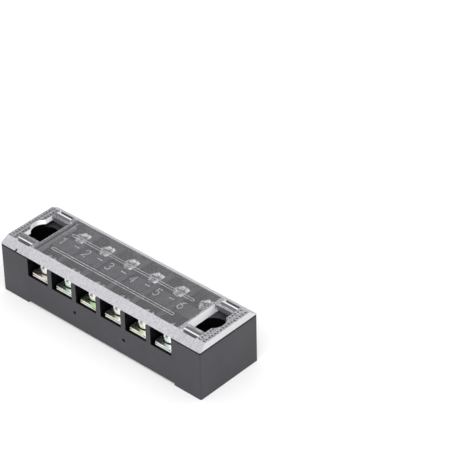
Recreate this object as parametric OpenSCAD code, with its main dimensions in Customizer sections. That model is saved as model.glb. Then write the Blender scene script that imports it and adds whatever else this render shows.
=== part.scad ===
// Double-row barrier terminal strip: a moulded base with six pairs of screw
// terminals and a clear cover that lifts off.
// X runs along the strip, Y across it and Z up. The origin is the middle of the
// underside, so the front row of terminals is at -Y.

/* [Strip] */
// Length of the base and the cover
body_l = 66; // [64:0.5:70]
// Width of the base and the cover
body_w = 19.8; // [19.4:0.1:22]
// Height of the base, up to the rims the cover closes on
base_h = 13.8; // [13.6:0.1:14.4]
// Radius of the upright corners
corner_r = 0.4; // [0.3:0.1:1]

/* [Terminals] */
// Number of ways, each with one front and one rear terminal
ways = 6; // [6:1:6]
// Distance from one way to the next
pitch = 8.2; // [8:0.1:8.4]
// Clear width of a wire entry between two barriers
cell_w = 6.7; // [6.4:0.1:6.9]
// Height of the floor that the conductor strips lie on
floor_z = 8.1; // [7.8:0.1:8.4]
// Height of the lip in front of each conductor strip
sill_z = 8.4; // [8.2:0.1:8.8]
// Half width of the middle wall between the two rows
ridge_half = 2.2; // [2:0.1:2.4]
// Height of the middle wall
ridge_z = 13.4; // [13:0.1:13.6]
// Radius on the outer top corner of each barrier
barrier_r = 0.9; // [0.5:0.1:1.4]

/* [Metal parts] */
// Width of a conductor strip
strip_w = 5.5; // [5:0.1:6]
// Thickness of a conductor strip
strip_t = 0.8; // [0.7:0.1:0.9]
// Gap from the end of a conductor strip to the outside of the base
strip_inset = 0.7; // [0.6:0.05:0.8]
// Distance of each screw row from the middle of the strip
row_y = 5.9; // [5.8:0.1:6]
// Thread diameter of the terminal screws
screw_d = 3; // [3:0.5:3]
// Length of a terminal screw under its head
screw_l = 6; // [5.5:0.5:6]
// Diameter of a screw head
head_d = 4.4; // [4.2:0.1:4.6]
// Height of a screw head
head_h = 2.6; // [2.4:0.1:2.8]
// Length of a clamp plate along the wire
plate_l = 6.6; // [6.2:0.1:6.7]
// Thickness of a clamp plate
plate_t = 0.6; // [0.5:0.1:0.7]

/* [Cover] */
// Height of the top of the cover above the underside of the base
top_z = 15.5; // [15.4:0.1:16]
// Seam between the rim of the base and the edge of the cover
seam = 0.1; // [0.05:0.05:0.2]
// Thickness of the top of the cover
cover_t = 1.2; // [1:0.1:1.3]
// Width of the sloping band along each long side
bevel_w = 2.3; // [2:0.1:2.6]
// Inset of the cover's top edge at each end
end_inset = 0.35; // [0.2:0.05:0.6]

/* [Fixing] */
// Distance between the two fixing holes
fixing_pitch = 56; // [55:0.5:57]
// Diameter of the fixing holes
fixing_d = 4.3; // [4:0.1:4.5]
// Diameter of the counterbore for the fixing screw's head
cbore_d = 8; // [7.6:0.1:8.2]
// Height of the counterbore's floor
cbore_z = 5; // [4:0.5:6]

/* [Hidden] */
$fn = 48;
eps = 0.01;

half_l = body_l / 2;
half_w = body_w / 2;
barrier_t = pitch - cell_w;
block_x = (ways * pitch - barrier_t) / 2;      // inner face of each end block
strip_top = floor_z + strip_t;
plate_top = strip_top + plate_t;
foot_x = 24.5;                                 // inner edge of the end feet
foot_h = 0.6;
well_d = 4.6;
well_z = 2.6;
sill_t = strip_inset - 0.05;
recess_z = 12.9;                               // floor under the cover's end windows
recess_y = 6.7;
recess_x0 = block_x - 0.6;
recess_x1 = half_l - 1.3;
edge_z = base_h + seam;                        // lower edge of the cover
wall_t = 1;
wall_x = half_l - 8.6;                         // window side of the cover's cross wall
wall_y = 6.6;
plate_z = top_z - 1.35;                        // underside of the cover beside a window
window_x = half_l - 3;
window_y = 4.75;
bulge_r = 3.25;
bulge_x = half_l - 4.95;
tab_x0 = 25.2;                                 // latch tabs beside each window
tab_x1 = 29.8;
tab_y0 = 6.2;
tab_t = 0.8;
tab_z = 11;
tab_gap = 0.25;

function way_x(i) = (i - (ways + 1) / 2) * pitch;

// Flat outline seen from above, with round corners
module footprint(l, w, r) {
    square([l - 2 * r, w], center = true);
    square([l, w - 2 * r], center = true);
    for (x = [-1, 1], y = [-1, 1])
        translate([x * (l / 2 - r), y * (w / 2 - r)]) circle(r);
}

// Stands a Y-Z outline up and runs it along X, centred
module along_x(l) {
    rotate([90, 0, 90]) linear_extrude(l, center = true) children();
}

// Box given by its lowest and highest corners
module span(lo, hi) {
    translate(lo) cube(hi - lo);
}

// The same children at both ends of the strip
module both_ends() {
    children();
    mirror([1, 0, 0]) children();
}

// The same children in both rows
module both_rows() {
    children();
    mirror([0, 1, 0]) children();
}

// One barrier, with its outer top corners rounded
module barrier() {
    along_x(barrier_t) {
        translate([-half_w, 0]) square([body_w, base_h - barrier_r]);
        translate([-half_w + barrier_r, 0]) square([body_w - 2 * barrier_r, base_h]);
        for (s = [-1, 1])
            translate([s * (half_w - barrier_r), base_h - barrier_r]) circle(barrier_r);
    }
}

// Counterbored hole for a fixing screw
module fixing_hole() {
    translate([fixing_pitch / 2, 0, 0]) {
        translate([0, 0, -1]) cylinder(d = fixing_d, h = base_h);
        translate([0, 0, cbore_z]) cylinder(d = cbore_d, h = base_h);
    }
}

// Pocket that takes one of the cover's latch tabs
module tab_pocket() {
    span([tab_x0 - tab_gap, tab_y0 - tab_gap, tab_z - 0.4],
         [tab_x1 + tab_gap, tab_y0 + tab_t + tab_gap, base_h + 1]);
}

// Moulded base: end blocks, barriers, middle wall, wire entries and wells
module base() {
    color([0.16, 0.16, 0.17])
    difference() {
        union() {
            linear_extrude(floor_z) footprint(body_l, body_w, corner_r);
            linear_extrude(base_h) difference() {
                footprint(body_l, body_w, corner_r);
                square([2 * block_x, body_w + 1], center = true);
            }
            span([-block_x - 1, -ridge_half, floor_z - 1], [block_x + 1, ridge_half, ridge_z]);
            for (i = [1:ways - 1])
                translate([way_x(i) + pitch / 2, 0, 0]) barrier();
            both_rows()
                span([-block_x - 1, half_w - sill_t, floor_z - 1], [block_x + 1, half_w, sill_z]);
        }
        // slot under the middle wall, screw wells and underside core of each way
        for (i = [1:ways]) translate([way_x(i), 0, 0]) {
            span([-strip_w / 2 - 0.1, -ridge_half - 1, floor_z],
                 [strip_w / 2 + 0.1, ridge_half + 1, strip_top + 0.15]);
            both_rows()
                translate([0, row_y, well_z]) cylinder(d = well_d, h = floor_z);
            span([-2.4, -1.6, -1], [2.4, 1.6, floor_z - 2]);
        }
        // relief between the end feet
        span([-foot_x, -half_w - 1, -1], [foot_x, half_w + 1, foot_h]);
        both_ends() {
            fixing_hole();
            span([recess_x0, -recess_y, recess_z], [recess_x1, recess_y, base_h + 1]);
            both_rows() tab_pocket();
        }
        // small moulding marks low on the front wall
        for (i = [2, 4])
            translate([way_x(i) + pitch / 2, -half_w - 1, 5])
                rotate([-90, 0, 0]) cylinder(d = 0.9, h = 1.2);
    }
}

// Y-Z outline of the cover, sloping along both long sides
module cover_section() {
    polygon([
        [-half_w, edge_z], [half_w, edge_z],
        [half_w - bevel_w, top_z], [-half_w + bevel_w, top_z]
    ]);
}

// X-Z outline of the cover, drawn in a little at both ends
module cover_profile() {
    polygon([
        [-half_l, edge_z - 1], [half_l, edge_z - 1], [half_l, edge_z + 0.2],
        [half_l - end_inset, top_z], [half_l - end_inset, top_z + 1],
        [-half_l + end_inset, top_z + 1], [-half_l + end_inset, top_z],
        [-half_l, edge_z + 0.2]
    ]);
}

// Window for a fixing screw, with a round bulge towards the end
module window() {
    translate([0, 0, edge_z - 1]) linear_extrude(4) {
        translate([wall_x, -window_y]) square([window_x - wall_x, 2 * window_y]);
        translate([bulge_x, 0]) circle(bulge_r);
    }
}

// Clear cover: bevelled lid, cross walls, end windows and latch tabs
module cover() {
    hollow_y = 7.8;
    color([0.86, 0.88, 0.92, 0.5]) {
        difference() {
            intersection() {
                along_x(body_l + 1) cover_section();
                rotate([90, 0, 0]) linear_extrude(body_w + 1, center = true) cover_profile();
                linear_extrude(top_z + 1) footprint(body_l, body_w, corner_r);
            }
            // shallow hollow over the terminals
            along_x(2 * (wall_x - wall_t)) polygon([
                [-hollow_y, edge_z - 1], [hollow_y, edge_z - 1], [hollow_y, edge_z],
                [hollow_y - 0.6, top_z - cover_t], [-hollow_y + 0.6, top_z - cover_t],
                [-hollow_y, edge_z]
            ]);
            both_ends() {
                span([wall_x, -8, edge_z - 1], [half_l - 1.1, 8, plate_z]);
                window();
                both_rows()
                    span([tab_x0, tab_y0 + tab_t, edge_z - 1],
                         [tab_x1, tab_y0 + tab_t + 0.8, top_z + 1]);
            }
            // pry notches in the lower edge
            for (s = [0, 180]) rotate([0, 0, s])
                span([-half_l + 4.7, -half_w - 1, edge_z - 1],
                     [-half_l + 5.5, -half_w + 0.9, edge_z + 0.4]);
        }
        both_ends() {
            span([wall_x - wall_t, -wall_y, recess_z], [wall_x, wall_y, top_z - 0.5]);
            both_rows()
                span([tab_x0, tab_y0, tab_z], [tab_x1, tab_y0 + tab_t, top_z - 0.5]);
        }
    }
}

// Plated strip joining the front and rear terminals of one way
module conductor_strip(i) {
    end_y = half_w - strip_inset;
    bevel = 0.3;
    color([0.78, 0.77, 0.7])
    translate([way_x(i), 0, 0]) difference() {
        union() {
            translate([0, 0, floor_z]) linear_extrude(strip_t) polygon([
                [-strip_w / 2, -end_y + bevel], [-strip_w / 2 + bevel, -end_y],
                [strip_w / 2 - bevel, -end_y], [strip_w / 2, -end_y + bevel],
                [strip_w / 2, end_y - bevel], [strip_w / 2 - bevel, end_y],
                [-strip_w / 2 + bevel, end_y], [-strip_w / 2, end_y - bevel]
            ]);
            // drawn collars that carry the screw thread
            both_rows()
                translate([0, row_y, floor_z - 1.3]) cylinder(d = screw_d + 1.2, h = 1.3 + eps);
        }
        both_rows()
            translate([0, row_y, floor_z - 2]) cylinder(d = screw_d + 0.1, h = strip_t + 3);
    }
}

// Square plate under a screw head that presses the wire on the strip
module clamp_plate(i, row) {
    groove = 0.25;
    color([0.8, 0.8, 0.74])
    translate([way_x(i), row * row_y, 0]) difference() {
        translate([0, 0, strip_top]) linear_extrude(plate_t) footprint(strip_w, plate_l, 0.4);
        translate([0, 0, strip_top - 1]) cylinder(d = screw_d + 0.2, h = plate_t + 2);
        // wire grooves across the underside
        for (x = [-1, 1])
            translate([x * 2.15 - 0.3, -plate_l / 2 - 1, strip_top - 1])
                cube([0.6, plate_l + 2, 1 + groove]);
    }
}

// Terminal screw with a rounded head, a full slot and a short cross slot
module screw(i, row) {
    rim_r = 0.7;
    under_r = 0.4;
    slot_w = 0.8;
    slot_d = 1.2;
    point = 0.4;
    color([0.85, 0.85, 0.8])
    translate([way_x(i), row * row_y, plate_top]) difference() {
        union() {
            rotate_extrude() {
                square([head_d / 2 - rim_r, head_h]);
                translate([0, under_r]) square([head_d / 2, head_h - rim_r - under_r]);
                translate([head_d / 2 - rim_r, head_h - rim_r]) circle(rim_r);
                translate([head_d / 2 - under_r, under_r]) circle(under_r);
            }
            rotate_extrude() polygon([
                [0, eps], [screw_d / 2, eps], [screw_d / 2, point - screw_l],
                [screw_d / 2 - point, -screw_l], [0, -screw_l]
            ]);
        }
        translate([-slot_w / 2, -head_d, head_h - slot_d]) cube([slot_w, 2 * head_d, slot_d + 1]);
        translate([-1.5, -slot_w / 2, head_h - slot_d]) cube([3, slot_w, slot_d + 1]);
    }
}

base();
cover();
for (i = [1:ways]) {
    conductor_strip(i);
    clamp_plate(i, -1);
    clamp_plate(i, 1);
    screw(i, -1);
    screw(i, 1);
}
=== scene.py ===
import bpy
import math
from mathutils import Matrix, Vector


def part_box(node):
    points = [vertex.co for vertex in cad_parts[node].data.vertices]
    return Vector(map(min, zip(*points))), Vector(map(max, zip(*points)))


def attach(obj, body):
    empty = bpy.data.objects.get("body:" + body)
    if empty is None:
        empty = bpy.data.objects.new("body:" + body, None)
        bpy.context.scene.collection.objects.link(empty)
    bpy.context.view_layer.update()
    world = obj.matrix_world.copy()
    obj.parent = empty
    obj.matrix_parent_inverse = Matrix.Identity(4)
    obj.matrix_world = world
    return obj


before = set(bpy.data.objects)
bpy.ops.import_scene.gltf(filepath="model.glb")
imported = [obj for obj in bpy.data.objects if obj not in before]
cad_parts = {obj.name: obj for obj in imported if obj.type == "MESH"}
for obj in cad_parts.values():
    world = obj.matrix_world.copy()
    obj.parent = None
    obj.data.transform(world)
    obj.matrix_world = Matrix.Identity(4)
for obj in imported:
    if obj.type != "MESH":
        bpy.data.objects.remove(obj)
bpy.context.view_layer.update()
print("frame loaded:", len(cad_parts), "nodes")

mm = 0.001
ways = sum(name.startswith("conductor_strip_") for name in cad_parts)
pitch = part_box("conductor_strip_2")[0][0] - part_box("conductor_strip_1")[0][0]


def linearOf(hexColour, alpha=1.0):
    parts = [int(hexColour[i:i + 2], 16) / 255 for i in (1, 3, 5)]
    return [c / 12.92 if c < 0.04045 else ((c + 0.055) / 1.055) ** 2.4 for c in parts] + [alpha]


def addNode(tree, kind, settings=None, links=None):
    # a link comes from a socket, or from the first output of a node
    node = tree.nodes.new(kind)
    for name, value in (settings or {}).items():
        if isinstance(name, str) and hasattr(node, name):
            setattr(node, name, value)
        else:
            node.inputs[name].default_value = value
    for name, source in (links or {}).items():
        socket = source.outputs[0] if isinstance(source, bpy.types.Node) else source
        tree.links.new(socket, node.inputs[name])
    return node


def newMaterial(name):
    material = bpy.data.materials.new(name)
    material.use_nodes = True
    material.node_tree.nodes.clear()
    return material, material.node_tree


def finishMaterial(tree, shader):
    addNode(tree, "ShaderNodeOutputMaterial", {}, {"Surface": shader})


def setStops(ramp, stops):
    band = ramp.color_ramp
    while len(band.elements) < len(stops):
        band.elements.new(0.5)
    for element, (place, colour) in zip(band.elements, stops):
        element.position = place
        element.color = linearOf(colour) if isinstance(colour, str) else [colour] * 3 + [1]
    return ramp


def addMesh(name, verts, faces, material):
    mesh = bpy.data.meshes.new(name)
    mesh.from_pydata(verts, [], faces)
    mesh.materials.append(material)
    piece = bpy.data.objects.new(name, mesh)
    bpy.context.collection.objects.link(piece)
    return piece


# Glass-filled phenolic, compression moulded: a satin charcoal skin with a fine, even grain.
# Its recesses are painted almost black: painted shade where little light would find its way back
# out of them.
baseLook = {
    "colour": "#37353b",
    "colourWorn": "#3f3d43",
    # painted shade colour, for the recesses and for the line under the cover
    "recessShade": "#050506",
    "recessShadeMm": 12.0,       # how far out a face has to be clear to count as open
    "recessShadeRange": (0.86, 0.995),   # from fully dark to fully open
    "coverShadowMm": 0.35,         # half the height of the painted shadow line under the cover
    "upright": 0.3,         # how far a face may tilt and still carry that line
    "grainMm": 0.3,         # the real filler grain is 0.05 mm, too fine to show
    "cloudMm": 7.0,
    "roughness": (0.45, 0.6),
    "shine": (0.1, 0.5),    # in the recesses and in the open
    "bumpMm": 0.012,
    "ior": 1.5,
}


def phenolic():
    look = baseLook
    material, tree = newMaterial("phenolicMoulded")
    coord = addNode(tree, "ShaderNodeTexCoord").outputs
    cloud = addNode(tree, "ShaderNodeTexNoise",
                    {"Scale": 1 / (look["cloudMm"] * mm), "Detail": 3.0},
                    {"Vector": coord["Object"]})
    grain = addNode(tree, "ShaderNodeTexNoise",
                    {"Scale": 1 / (look["grainMm"] * mm), "Detail": 2.0},
                    {"Vector": coord["Object"]})
    skinColour = setStops(addNode(tree, "ShaderNodeValToRGB", {}, {"Fac": cloud}),
                          [(0.3, look["colour"]), (0.7, look["colourWorn"])])
    # painted shade: ambient occlusion darkens the recesses towards almost black
    recessShadeAO = addNode(tree, "ShaderNodeAmbientOcclusion",
                    {"only_local": True, "samples": 8, "Distance": look["recessShadeMm"] * mm})
    dark, clear = look["recessShadeRange"]
    reach = addNode(tree, "ShaderNodeMapRange", {"From Min": dark, "From Max": clear},
                    {"Value": recessShadeAO.outputs["AO"]})
    colour = addNode(tree, "ShaderNodeMix", {"data_type": "RGBA", 6: linearOf(look["recessShade"])},
                     {0: reach, 7: skinColour}).outputs[2]
    # painted shadow: a dark line where the cover sits on the outer faces
    height = addNode(tree, "ShaderNodeSeparateXYZ", {}, {"Vector": coord["Object"]})
    coverShadowLine = addNode(tree, "ShaderNodeMath",
                  {"operation": "COMPARE", 1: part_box("base")[1][2], 2: look["coverShadowMm"] * mm},
                  {0: height.outputs["Z"]})
    face = addNode(tree, "ShaderNodeSeparateXYZ", {}, {"Vector": coord["Normal"]})
    upright = addNode(tree, "ShaderNodeMath",
                      {"operation": "COMPARE", 1: 0.0, 2: look["upright"]},
                      {0: face.outputs["Z"]})
    coverShadowLine = addNode(tree, "ShaderNodeMath", {"operation": "MULTIPLY"}, {0: coverShadowLine, 1: upright})
    colour = addNode(tree, "ShaderNodeMix", {"data_type": "RGBA", 7: linearOf(look["recessShade"])},
                     {0: coverShadowLine, 6: colour}).outputs[2]
    smooth, coarse = look["roughness"]
    rough = addNode(tree, "ShaderNodeMapRange", {"To Min": smooth, "To Max": coarse},
                    {"Value": grain})
    bump = addNode(tree, "ShaderNodeBump", {"Strength": 0.5, "Distance": look["bumpMm"] * mm},
                   {"Height": grain})
    shine = addNode(tree, "ShaderNodeMath", {"operation": "SUBTRACT"}, {0: reach, 1: coverShadowLine})
    dull, bright = look["shine"]
    shine = addNode(tree, "ShaderNodeMapRange", {"To Min": dull, "To Max": bright},
                    {"Value": shine})
    skin = addNode(tree, "ShaderNodeBsdfPrincipled", {"IOR": look["ior"]},
                   {"Base Color": colour, "Roughness": rough, "Normal": bump,
                    "Specular IOR Level": shine})
    finishMaterial(tree, skin)
    return material


# Injection-moulded polycarbonate: polished flats that show the terminals, and milky sloping bands,
# end faces and window walls, with a mottle from the tool. The sloping bands' milky white is a
# painted reflection of the bright surroundings in the clear bevels; the end faces and window walls
# scatter the light, and painted light makes them whiter still.
coverLook = {
    "clear": "#e6e6ec",
    "milky": "#d8d7dc",
    "mottle": "#c3c2c8",
    "mottleMm": 0.45,
    "mottleStops": (0.36, 0.56),
    # painted light: near white for the window walls, the tab's root line and, in part, the end
    # faces
    "wall": "#fbfafc",
    "shade": "#3c3b40",
    # painted shade grey for the latch slots; the draw marks use the same grey
    "shadeGrey": "#6e6d72",
    "inner": "#86858a",
    "polish": 0.03,
    "milkyRough": 0.55,
    "ior": 1.585,
    "shine": 0.15,
    "bumpMm": 0.03,
    "windowZoneMm": 9.1,    # from the end of the cover; a window and its walls lie in it
    "windowMm": 7.3,        # of that zone, up to the outer wall of the window
    "facingX": 0.45,        # how squarely a face has to look along the strip to be etched
    "facingY": 0.9,         # and across it, to be the wall of a latch slot
    "slope": (0.82, 0.12),  # the sloping bands: how far their faces look up, and the leeway
    "topMm": 0.05,          # what lies this close to the top belongs to it
    "milkyShare": 0.92,     # how much of the light a milky face scatters back
    "frost": 0.3,           # the same for the top beside the windows
    "frostRange": (0.35, 0.65),
    "frostSwing": (0.7, 1.3),
    "frostRise": 1.9,       # how much stronger it is at the right-hand end
    "prismShare": 0.5,      # how much of the light from above the tool marks throw back
    "lampShare": 0.9,       # how much lamp light the clear flats let through
    "milkyLampShare": 0.75,
    "teethMm": 0.95,        # pitch of the serrations along both ends
    "teethRowsMm": (30.6, 32.0),
    "teethHalfMm": 0.22,
    "toothFrom": 0.15,      # where along a sine wave a tooth begins
    "latchMm": (25.1, 29.9),
    # painted highlight: a white line along the tab's root
    "rootMm": 6.7,
    "rootHalfMm": 0.2,
    "shadeBandInMm": 0.7,      # from the root towards the middle
    "shadeBandHalfMm": 0.42,
    "innerShare": 0.8,      # how much the far side of a window wall hides, where it is painted grey shade
    "drawMm": 0.7,
    "drawRange": (0.42, 0.6),
    "drawShare": 0.14,
    "endShare": 0.6,        # how near the end faces come to the painted white of the walls
}


def polycarbonate():
    look = coverLook
    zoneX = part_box("cover")[1][0] - look["windowZoneMm"] * mm
    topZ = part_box("cover")[1][2]
    material, tree = newMaterial("polycarbonateClear")
    coord = addNode(tree, "ShaderNodeTexCoord").outputs
    shape = addNode(tree, "ShaderNodeNewGeometry").outputs
    inside = shape["Backfacing"]    # light already in the resin
    face = addNode(tree, "ShaderNodeSeparateXYZ", {}, {"Vector": coord["Normal"]}).outputs
    place = addNode(tree, "ShaderNodeSeparateXYZ", {}, {"Vector": coord["Object"]}).outputs
    out = addNode(tree, "ShaderNodeMath", {"operation": "ABSOLUTE"}, {0: place["X"]})
    across = addNode(tree, "ShaderNodeMath", {"operation": "ABSOLUTE"}, {0: place["Y"]})

    # where each kind of surface lies
    outer = addNode(tree, "ShaderNodeMath", {"operation": "GREATER_THAN", 1: zoneX}, {0: out})
    facingX = addNode(tree, "ShaderNodeMath", {"operation": "ABSOLUTE"}, {0: face["X"]})
    facingX = addNode(tree, "ShaderNodeMath",
                      {"operation": "GREATER_THAN", 1: look["facingX"]}, {0: facingX})
    within = addNode(tree, "ShaderNodeMath",
                     {"operation": "LESS_THAN", 1: zoneX + look["windowMm"] * mm}, {0: out})
    ends = addNode(tree, "ShaderNodeMath", {"operation": "MULTIPLY"}, {0: facingX, 1: outer})
    walls = addNode(tree, "ShaderNodeMath", {"operation": "MULTIPLY"}, {0: ends, 1: within})
    # painted reflection: the sloping bands are drawn milky white for the bright surroundings that
    # the clear bevels reflect
    slope = addNode(tree, "ShaderNodeMath",
                    {"operation": "COMPARE", 1: look["slope"][0], 2: look["slope"][1]},
                    {0: face["Z"]})
    milkyFaces = addNode(tree, "ShaderNodeMath", {"operation": "MAXIMUM"}, {0: ends, 1: slope})
    milkyFaces = addNode(tree, "ShaderNodeMath", {"operation": "GREATER_THAN"},
                     {0: milkyFaces, 1: inside})
    upper = addNode(tree, "ShaderNodeMath",
                    {"operation": "GREATER_THAN", 1: topZ - look["topMm"] * mm}, {0: place["Z"]})
    endZone = addNode(tree, "ShaderNodeMath", {"operation": "MULTIPLY"}, {0: upper, 1: outer})

    mottle = addNode(tree, "ShaderNodeTexNoise",
                     {"Scale": 1 / (look["mottleMm"] * mm), "Detail": 4.0},
                     {"Vector": coord["Object"]})
    low, high = look["frostRange"]
    least, most = (swing * look["frost"] for swing in look["frostSwing"])
    frost = addNode(tree, "ShaderNodeMapRange",
                    {"From Min": low, "From Max": high, "To Min": least, "To Max": most},
                    {"Value": mottle})
    uneven = addNode(tree, "ShaderNodeMapRange",
                     {"From Min": -zoneX, "From Max": zoneX,
                      "To Min": 1.0, "To Max": look["frostRise"]}, {"Value": place["X"]})
    for share in (uneven, endZone):
        frost = addNode(tree, "ShaderNodeMath", {"operation": "MULTIPLY"}, {0: frost, 1: share})

    # serrations: two rows of teeth along each end, drawn as painted shade, dark where their steep
    # flanks would send the light away
    rows = [addNode(tree, "ShaderNodeMath",
                    {"operation": "COMPARE", 1: row * mm, 2: look["teethHalfMm"] * mm}, {0: out})
            for row in look["teethRowsMm"]]
    rows = addNode(tree, "ShaderNodeMath", {"operation": "MAXIMUM"}, {0: rows[0], 1: rows[1]})
    tooth = addNode(tree, "ShaderNodeMath",
                    {"operation": "MULTIPLY", 1: 2 * math.pi / (look["teethMm"] * mm)},
                    {0: place["Y"]})
    tooth = addNode(tree, "ShaderNodeMath", {"operation": "SINE"}, {0: tooth})
    teeth = addNode(tree, "ShaderNodeMath",
                    {"operation": "GREATER_THAN", 1: look["toothFrom"]}, {0: tooth})
    for area in (rows, upper):
        teeth = addNode(tree, "ShaderNodeMath", {"operation": "MULTIPLY"}, {0: area, 1: teeth})

    # latch slots: painted shade, a grey wall down each slot and a grey band on the top beside it,
    # and a painted highlight, a white line along the tab's root
    latchX = sum(look["latchMm"]) / 2 * mm
    latch = addNode(tree, "ShaderNodeMath",
                    {"operation": "COMPARE", 1: latchX, 2: latchX - look["latchMm"][0] * mm},
                    {0: out})
    facingY = addNode(tree, "ShaderNodeMath", {"operation": "ABSOLUTE"}, {0: face["Y"]})
    facingY = addNode(tree, "ShaderNodeMath",
                      {"operation": "GREATER_THAN", 1: look["facingY"]}, {0: facingY})
    slotWall = addNode(tree, "ShaderNodeMath", {"operation": "MULTIPLY"}, {0: latch, 1: facingY})
    latchTop = addNode(tree, "ShaderNodeMath", {"operation": "MULTIPLY"}, {0: latch, 1: upper})
    bars = []
    for middle, half in ((look["rootMm"], look["rootHalfMm"]),
                         (look["rootMm"] - look["shadeBandInMm"], look["shadeBandHalfMm"])):
        bar = addNode(tree, "ShaderNodeMath",
                      {"operation": "COMPARE", 1: middle * mm, 2: half * mm}, {0: across})
        bars.append(addNode(tree, "ShaderNodeMath", {"operation": "MULTIPLY"},
                            {0: bar, 1: latchTop}))
    rootHighlight, shadeGrey = bars
    shadeGrey = addNode(tree, "ShaderNodeMath", {"operation": "MAXIMUM"}, {0: shadeGrey, 1: slotWall})

    # what scatters the light, and what lets it through
    # painted shade: the far side of a window wall, seen from inside the resin, is drawn grey and
    # mostly opaque
    wallBackShade = addNode(tree, "ShaderNodeMath", {"operation": "MULTIPLY"}, {0: walls, 1: inside})
    shady = addNode(tree, "ShaderNodeMath", {"operation": "MULTIPLY", 1: look["innerShare"]},
                    {0: wallBackShade})
    scatter = addNode(tree, "ShaderNodeMath", {"operation": "MULTIPLY", 1: look["milkyShare"]},
                      {0: milkyFaces})
    for mark in (frost, teeth, rootHighlight, shadeGrey, shady):
        scatter = addNode(tree, "ShaderNodeMath", {"operation": "MAXIMUM"}, {0: scatter, 1: mark})
    through = addNode(tree, "ShaderNodeMath", {"operation": "SUBTRACT", 0: 1.0}, {1: scatter})
    milk = setStops(addNode(tree, "ShaderNodeValToRGB", {}, {"Fac": mottle}),
                    list(zip(look["mottleStops"], (look["mottle"], look["milky"]))))
    # draw marks run up the bands beside the windows
    draw = addNode(tree, "ShaderNodeTexNoise",
                   {"noise_dimensions": "1D", "Scale": 1 / (look["drawMm"] * mm), "Detail": 2.0},
                   {"W": place["X"]})
    low, high = look["drawRange"]
    draw = addNode(tree, "ShaderNodeMapRange", {"From Min": low, "From Max": high},
                   {"Value": draw})
    draw = addNode(tree, "ShaderNodeMath", {"operation": "MULTIPLY", 1: look["drawShare"]},
                   {0: draw})
    draw = addNode(tree, "ShaderNodeMath", {"operation": "MULTIPLY"}, {0: draw, 1: outer})
    milk = addNode(tree, "ShaderNodeMix", {"data_type": "RGBA", 7: linearOf(look["shadeGrey"])},
                   {0: draw, 6: milk}).outputs[2]
    anyScatter = addNode(tree, "ShaderNodeMath", {"operation": "GREATER_THAN", 1: 0.01},
                         {0: scatter})
    colour = addNode(tree, "ShaderNodeMix", {"data_type": "RGBA", 6: linearOf(look["clear"])},
                     {0: anyScatter, 7: milk}).outputs[2]
    # painted light: the window walls, the end faces in part and the tab's root line are drawn near
    # white
    litWhite = addNode(tree, "ShaderNodeMath", {"operation": "MULTIPLY", 1: look["endShare"]},
                    {0: ends})
    for mark in (walls, rootHighlight):
        litWhite = addNode(tree, "ShaderNodeMath", {"operation": "MAXIMUM"}, {0: litWhite, 1: mark})
    for part, name in ((litWhite, "wall"), (shadeGrey, "shadeGrey"), (wallBackShade, "inner"), (teeth, "shade")):
        colour = addNode(tree, "ShaderNodeMix", {"data_type": "RGBA", 7: linearOf(look[name])},
                         {0: part, 6: colour}).outputs[2]
    rough = addNode(tree, "ShaderNodeMapRange", {"To Min": look["polish"], "To Max": look["milkyRough"]},
                    {"Value": milkyFaces})

    # the upright faces carry tool marks, which throw the light from above back like small prisms
    prisms = addNode(tree, "ShaderNodeMath", {"operation": "GREATER_THAN"}, {0: ends, 1: inside})
    prisms = addNode(tree, "ShaderNodeMath", {"operation": "MULTIPLY", 1: look["prismShare"]},
                     {0: prisms})
    lean = addNode(tree, "ShaderNodeCombineXYZ", {}, {"Z": ends})
    lean = addNode(tree, "ShaderNodeVectorMath", {"operation": "MULTIPLY_ADD", 1: (1, 1, 1)},
                   {0: lean, 2: shape["Normal"]})
    lean = addNode(tree, "ShaderNodeVectorMath", {"operation": "NORMALIZE"}, {0: lean})
    bump = addNode(tree, "ShaderNodeBump", {"Strength": 0.5, "Distance": look["bumpMm"] * mm},
                   {"Height": mottle, "Normal": lean})
    resin = addNode(tree, "ShaderNodeBsdfPrincipled",
                    {"IOR": look["ior"], "Specular IOR Level": look["shine"]},
                    {"Base Color": colour, "Metallic": prisms, "Roughness": rough,
                     "Transmission Weight": through, "Normal": bump})

    # glass blocks lamp light in the renderer, so a share of it goes straight through
    rays = addNode(tree, "ShaderNodeLightPath").outputs
    lamps = addNode(tree, "ShaderNodeMath", {"operation": "MAXIMUM"},
                    {0: rays["Is Shadow Ray"], 1: rays["Is Diffuse Ray"]})
    share = addNode(tree, "ShaderNodeMapRange",
                    {"To Min": look["lampShare"], "To Max": look["milkyLampShare"]},
                    {"Value": milkyFaces})
    letIn = addNode(tree, "ShaderNodeMath", {"operation": "MULTIPLY"}, {0: lamps, 1: share})
    gap = addNode(tree, "ShaderNodeBsdfTransparent")
    finishMaterial(tree, addNode(tree, "ShaderNodeMixShader", {}, {0: letIn, 1: resin, 2: gap}))
    return material


# Steel with bright zinc and a clear chromate: silver that drifts a little from way to way
# to straw, green or rose, because each piece took its own film in the barrel.
platingLook = {
    "front": ("#dcd4ca", "#c2d8ca", "#b6dca2", "#dad8cc", "#d4dca0", "#d2e0de"),
    "heads": ("#ebe6e0", "#e6ebe4", "#ebe8dc", "#e6e8e2", "#e8e9dd", "#e2eae6"),
    "rear": ("#e6d8cc", "#dae6d6", "#e6ddc6", "#dce4d8", "#e0e3cf", "#d8e6de"),
    "drift": "#f4f3f0",
    "driftMm": 1.6,         # how far one tint runs before the next
    "driftStops": ((0.4, 0.0), (0.62, 0.8)),
    "contactShade": "#2a2a28",
    "contactShadeMm": 0.5,        # how far the painted shade reaches out of a corner
    "contactShadeRange": (0.45, 0.85),
    "footShadeMm": 0.13,
    "toolMm": 0.25,
    "steep": 0.4,           # how far an edge may tilt and still count as sheared
}


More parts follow.
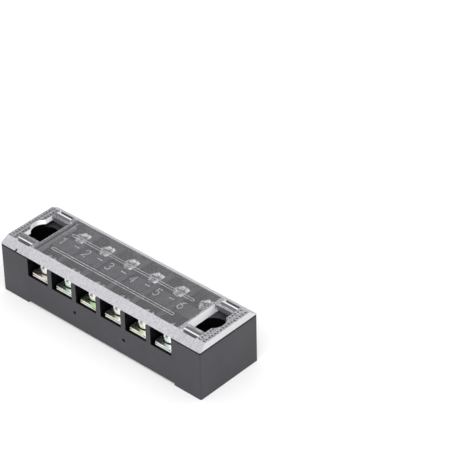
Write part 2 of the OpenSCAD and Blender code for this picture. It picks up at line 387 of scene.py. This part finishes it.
def zincPlated(name, tints, roughness, dome=0.05, roll=0.0, dents=0.008, foot=0.0):
    # dome and dents are in millimetres; foot is the height of the painted shade line
    look = platingLook
    material, tree = newMaterial(name)
    coord = addNode(tree, "ShaderNodeTexCoord").outputs["Object"]
    place = addNode(tree, "ShaderNodeSeparateXYZ", {}, {"Vector": coord}).outputs
    half = ways * pitch / 2
    along = addNode(tree, "ShaderNodeMapRange", {"From Min": -half, "From Max": half},
                    {"Value": place["X"]})
    ramp = addNode(tree, "ShaderNodeValToRGB", {}, {"Fac": along})
    ramp.color_ramp.interpolation = "CONSTANT"
    own = setStops(ramp, [(i / ways, tint) for i, tint in enumerate(tints)])
    drift = addNode(tree, "ShaderNodeTexNoise",
                    {"Scale": 1 / (look["driftMm"] * mm), "Detail": 1.5}, {"Vector": coord})
    share = setStops(addNode(tree, "ShaderNodeValToRGB", {}, {"Fac": drift}), look["driftStops"])
    colour = addNode(tree, "ShaderNodeMix", {"data_type": "RGBA", 7: linearOf(look["drift"])},
                     {0: share, 6: own}).outputs[2]
    # painted shade: ambient occlusion darkens corners and contacts, such as under a screw head
    contactShadeAO = addNode(tree, "ShaderNodeAmbientOcclusion",
                     {"samples": 8, "Distance": look["contactShadeMm"] * mm})
    dark, clear = look["contactShadeRange"]
    contactShadeAO = addNode(tree, "ShaderNodeMapRange", {"From Min": dark, "From Max": clear},
                     {"Value": contactShadeAO.outputs["AO"]})
    colour = addNode(tree, "ShaderNodeMix", {"data_type": "RGBA", 6: linearOf(look["contactShade"])},
                     {0: contactShadeAO, 7: colour}).outputs[2]
    # painted shade: a dark hairline along the lower edge, where one sheet lies on the next
    footShade = addNode(tree, "ShaderNodeMath",
                   {"operation": "COMPARE", 1: foot, 2: look["footShadeMm"] * mm},
                   {0: place["Z"]})
    colour = addNode(tree, "ShaderNodeMix", {"data_type": "RGBA", 7: linearOf(look["contactShade"])},
                     {0: footShade, 6: colour}).outputs[2]
    marks = addNode(tree, "ShaderNodeTexNoise",
                    {"Scale": 1 / (look["toolMm"] * mm), "Detail": 2.0}, {"Vector": coord})
    rough = addNode(tree, "ShaderNodeMapRange", {"To Min": roughness[0], "To Max": roughness[1]},
                    {"Value": marks})
    # tumbled edges: the film shines round them
    soft = addNode(tree, "ShaderNodeBevel", {"samples": 8, "Radius": dome * mm})
    # sheared edges roll over at the top and catch the light from above
    steep = addNode(tree, "ShaderNodeSeparateXYZ", {}, {"Vector": soft}).outputs["Z"]
    steep = addNode(tree, "ShaderNodeMath", {"operation": "COMPARE", 1: 0.0, 2: look["steep"]},
                    {0: steep})
    lift = addNode(tree, "ShaderNodeMath", {"operation": "MULTIPLY", 1: roll}, {0: steep})
    lift = addNode(tree, "ShaderNodeCombineXYZ", {}, {"Z": lift})
    soft = addNode(tree, "ShaderNodeVectorMath", {"operation": "ADD"}, {0: lift, 1: soft})
    soft = addNode(tree, "ShaderNodeVectorMath", {"operation": "NORMALIZE"}, {0: soft})
    bump = addNode(tree, "ShaderNodeBump", {"Strength": 0.25, "Distance": dents * mm},
                   {"Height": marks, "Normal": soft})
    metal = addNode(tree, "ShaderNodeBsdfPrincipled", {"Metallic": 1.0},
                    {"Base Color": colour, "Roughness": rough, "Normal": bump})
    finishMaterial(tree, metal)
    return material


def dress(start, material):
    for name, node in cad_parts.items():
        if name.startswith(start):
            node.data.materials.clear()
            node.data.materials.append(material)


dress("base", phenolic())
dress("cover", polycarbonate())
dress("conductor_strip_", zincPlated("conductorPlating", platingLook["rear"], (0.2, 0.34),
                                     dome=0.05, roll=0.4))
for row in ("front", "rear"):
    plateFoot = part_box("clamp_plate_" + row + "_1")[0][2]
    dress("clamp_plate_" + row, zincPlated(row + "ClampPlating", platingLook[row], (0.2, 0.36),
                                           dome=0.1, roll=0.9, dents=0.05, foot=plateFoot))
dress("screw_", zincPlated("screwPlating", platingLook["heads"], (0.2, 0.32), dome=1.0))
print("materials done")

# Marks moulded in relief under the cover's clear top: the way numbers, a dash between two ways
# and one long loop along each row. Sizes in millimetres.
marksLook = {
    "digitWide": 1.4,
    "digitTall": 2.65,
    "stroke": 0.24,
    "line": 0.16,
    "relief": 0.14,
    "firstDigit": (-21.0, -0.25),
    "digitPitch": 7.86,
    "dashAfter": 4.3,
    "dashLong": 1.5,
    "dashUp": 0.4,
    "loopY": (-3.95, 3.0),
    "loopX": (-21.1, 19.3),
    "loopWide": 0.75,
    "colour": "#e8e7ec",
    "speckColour": "#a9a8ae",
    "speck": 0.5,
    "roughness": (0.3, 0.55),
    "through": 0.35,        # how much light the relief lets through
    "ior": 1.585,
}


def arc(centre, radii, start, end, steps=14):
    turns = [math.radians(start + (end - start) * i / steps) for i in range(steps + 1)]
    return [(centre[0] + radii[0] * math.cos(t), centre[1] + radii[1] * math.sin(t))
            for t in turns]


# Each digit in a box one wide and one tall, centred, as strokes of a pen
digits = (
    [[(-0.34, 0.26), (0.08, 0.5), (0.08, -0.5)]],
    [arc((0, 0.2), (0.46, 0.3), 165, -35) + [(-0.46, -0.5), (0.48, -0.5)]],
    [arc((-0.02, 0.25), (0.42, 0.25), 150, -90) + arc((-0.02, -0.25), (0.48, 0.25), 90, -150)],
    [[(0.22, -0.5), (0.22, 0.5), (-0.48, -0.2), (0.5, -0.2)]],
    [[(0.42, 0.5), (-0.34, 0.5), (-0.4, 0.04)] + arc((0, -0.17), (0.46, 0.33), 130, -150)],
    [[(0.34, 0.5), (-0.1, 0.42), (-0.4, 0.1)] + arc((0, -0.2), (0.45, 0.3), 160, 520, 20)],
)


def ribbon(verts, faces, path, width, low, high, closed=False):
    # runs a flat bar along a path of (x, y) points
    points = [Vector(p) for p in path]
    count = len(points)
    first = len(verts)
    for i, point in enumerate(points):
        before = points[i - 1] if i or closed else point
        after = points[(i + 1) % count] if i < count - 1 or closed else point
        way = (after - before).normalized()
        side = Vector((-way.y, way.x)) * width / 2
        for z in (low, high):
            verts.extend([(*(point + side), z), (*(point - side), z)])
    for i in range(count if closed else count - 1):
        a, b = first + 4 * i, first + 4 * ((i + 1) % count)
        faces.extend([(a, b, b + 1, a + 1), (a + 2, a + 3, b + 3, b + 2),
                      (a, a + 2, b + 2, b), (a + 1, b + 1, b + 3, a + 3)])
    if not closed:
        last = first + 4 * (count - 1)
        faces.extend([(first, first + 1, first + 3, first + 2),
                      (last, last + 2, last + 3, last + 1)])


def roundEndedLoop(x0, x1, y, width):
    r = width / 2
    return arc((x1 - r, y), (r, r), -90, 90, 8) + arc((x0 + r, y), (r, r), 90, 270, 8)


def etchedRelief():
    look = marksLook
    material, tree = newMaterial("polycarbonateRelief")
    place = addNode(tree, "ShaderNodeTexCoord").outputs["Object"]
    speck = addNode(tree, "ShaderNodeTexNoise",
                    {"Scale": 1 / (look["speck"] * mm), "Detail": 3.0}, {"Vector": place})
    colour = setStops(addNode(tree, "ShaderNodeValToRGB", {}, {"Fac": speck}),
                      [(0.3, look["speckColour"]), (0.6, look["colour"])])
    smooth, coarse = look["roughness"]
    rough = addNode(tree, "ShaderNodeMapRange", {"To Min": smooth, "To Max": coarse},
                    {"Value": speck})
    resin = addNode(tree, "ShaderNodeBsdfPrincipled",
                    {"IOR": look["ior"], "Transmission Weight": look["through"]},
                    {"Base Color": colour, "Roughness": rough})
    finishMaterial(tree, resin)
    return material


def makeMarks():
    look = marksLook
    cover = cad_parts["cover"]
    ceiling = cover.ray_cast(Vector((0, 0, 0)), Vector((0, 0, 1)))[1]    # of the hollow
    high = ceiling.z / mm
    low = high - look["relief"]
    relief = etchedRelief()
    x0, y0 = look["firstDigit"]
    strokes, lines = ([], []), ([], [])
    for i, digit in enumerate(digits[:ways]):
        x = x0 + i * look["digitPitch"]
        for stroke in digit:
            path = [(x + u * look["digitWide"], y0 + v * look["digitTall"]) for u, v in stroke]
            ribbon(*strokes, path, look["stroke"], low, high)
        if i < ways - 1:
            dash = x + look["dashAfter"] - look["dashLong"] / 2
            y = y0 + look["dashUp"]
            ribbon(*strokes, [(dash, y), (dash + look["dashLong"], y)],
                   look["stroke"], low, high)
    for y in look["loopY"]:
        path = roundEndedLoop(*look["loopX"], y, look["loopWide"])
        ribbon(*lines, path, look["line"], low, high, closed=True)
    for name, (verts, faces) in (("cover_numbers", strokes), ("cover_loops", lines)):
        piece = addMesh(name, [Vector(v) * mm for v in verts], faces, relief)
        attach(piece, "cover")


makeMarks()
print("marks done")

# Sheared sheet metal: a small break on every edge
edgeLook = {
    "widthMm": {"clamp_plate_": 0.07, "conductor_strip_": 0.2},
    "segments": 2,
    "sharpDegrees": 50,
}


def softenEdges():
    for start, width in edgeLook["widthMm"].items():
        for name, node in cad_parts.items():
            if name.startswith(start):
                edge = node.modifiers.new("softEdge", "BEVEL")
                edge.width = width * mm
                edge.segments = edgeLook["segments"]
                edge.limit_method = "ANGLE"
                edge.angle_limit = math.radians(edgeLook["sharpDegrees"])


softenEdges()
print("edges done")

studio = {
    "floorColour": "#f4f4f4",
    "floorLift": 0.26,      # white that lights nothing, so the paper reads as white
    "floorSize": 2.0,
    "floorDropMm": 0.02,
    # painted shade: the grey card behind the strip
    "shadeCardColour": "#6c6b70",
    "shadeCardDark": "#5f5e63",
    "flagFibreMm": 0.8,
    "flagTallMm": 15.0,
    "flagGapMm": 0.6,       # from the back of the strip
    "worldLight": 0.72,
    "keyPower": 4.5,
    "keySize": 0.9,
    "keyPlace": (0.48, -0.55, 0.8),
}
view = {
    "azimuth": 42.71,
    "elevation": 35.98,
    "roll": -1.18,
    "distance": 632.7 * mm,
    "lookAt": (-4.9 * mm, 43.9 * mm, 0),
    "lens": 191.0,
    "sensor": 36,
    "clip": (0.01, 10),
}


def raysThatSee(tree):
    # the camera's rays, and those by which metal and glass show the same white
    rays = addNode(tree, "ShaderNodeLightPath").outputs
    seen = rays["Is Camera Ray"]
    for kind in ("Is Glossy Ray", "Is Transmission Ray"):
        seen = addNode(tree, "ShaderNodeMath", {"operation": "MAXIMUM"}, {0: seen, 1: rays[kind]})
    return seen


def makeFloor():
    material, tree = newMaterial("paperFloor")
    paper = addNode(tree, "ShaderNodeBsdfDiffuse", {"Color": linearOf(studio["floorColour"])})
    lift = addNode(tree, "ShaderNodeMath", {"operation": "MULTIPLY", 1: studio["floorLift"]},
                   {0: raysThatSee(tree)})
    glow = addNode(tree, "ShaderNodeEmission", {}, {"Strength": lift})
    finishMaterial(tree, addNode(tree, "ShaderNodeAddShader", {}, {0: paper, 1: glow}))
    half = studio["floorSize"] / 2
    floor = addMesh("floor", [(-half, -half, 0), (half, -half, 0), (half, half, 0),
                              (-half, half, 0)], [(0, 1, 2, 3)], material)
    floor.location.z = -studio["floorDropMm"] * mm


def makeShadeCard():
    # painted shade: a grey card close behind, where the next strip would stand, so that the rear
    # seen through the clear cover reads dark; only the clear cover shows it
    material, tree = newMaterial("greyShadeCard")
    place = addNode(tree, "ShaderNodeTexCoord").outputs["Object"]
    fibre = addNode(tree, "ShaderNodeTexNoise",
                    {"Scale": 1 / (studio["flagFibreMm"] * mm), "Detail": 2.0},
                    {"Vector": place})
    tone = setStops(addNode(tree, "ShaderNodeValToRGB", {}, {"Fac": fibre}),
                    [(0.3, studio["shadeCardDark"]), (0.7, studio["shadeCardColour"])])
    finishMaterial(tree, addNode(tree, "ShaderNodeBsdfDiffuse", {}, {"Color": tone}))
    low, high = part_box("base")
    y, top = high[1] + studio["flagGapMm"] * mm, studio["flagTallMm"] * mm
    shadeCard = addMesh("shadeCard", [(low[0], y, 0), (high[0], y, 0), (high[0], y, top),
                            (low[0], y, top)], [(0, 1, 2, 3)], material)
    for ray in ("camera", "diffuse", "glossy", "shadow"):
        setattr(shadeCard, "visible_" + ray, False)


def makeWorld():
    world = bpy.data.worlds.new("studio")
    world.use_nodes = True
    tree = world.node_tree
    tree.nodes.clear()
    strength = addNode(tree, "ShaderNodeMapRange",
                       {"To Min": studio["worldLight"], "To Max": 1.0},
                       {"Value": raysThatSee(tree)})
    sky = addNode(tree, "ShaderNodeBackground", {"Color": (1, 1, 1, 1)}, {"Strength": strength})
    addNode(tree, "ShaderNodeOutputWorld", {}, {"Surface": sky})
    bpy.context.scene.world = world


def makeKey():
    lamp = bpy.data.lights.new("key", "AREA")
    lamp.size = studio["keySize"]
    lamp.energy = studio["keyPower"]
    key = bpy.data.objects.new("key", lamp)
    bpy.context.collection.objects.link(key)
    key.location = studio["keyPlace"]
    key.rotation_euler = (-key.location).to_track_quat("-Z", "Y").to_euler()


def makeCamera():
    azimuth, elevation, roll = (math.radians(view[k]) for k in ("azimuth", "elevation", "roll"))
    back = Vector((math.sin(azimuth) * math.cos(elevation),
                   -math.cos(azimuth) * math.cos(elevation), math.sin(elevation)))
    right = Vector((math.cos(azimuth), math.sin(azimuth), 0))
    up = back.cross(right)
    level, lean = math.cos(roll), math.sin(roll)
    axisX = right * level + up * lean
    axisY = up * level - right * lean
    data = bpy.data.cameras.new("camera")
    data.lens = view["lens"]
    data.sensor_width = view["sensor"]
    data.clip_start, data.clip_end = view["clip"]
    camera = bpy.data.objects.new("camera", data)
    bpy.context.collection.objects.link(camera)
    turn = Matrix((axisX, axisY, back)).transposed().to_4x4()
    spot = Matrix.Translation(Vector(view["lookAt"]) + back * view["distance"])
    camera.matrix_world = spot @ turn
    bpy.context.scene.camera = camera


makeFloor()
makeShadeCard()
makeWorld()
makeKey()
makeCamera()
bpy.context.scene.view_settings.view_transform = "Standard"
print("studio done")
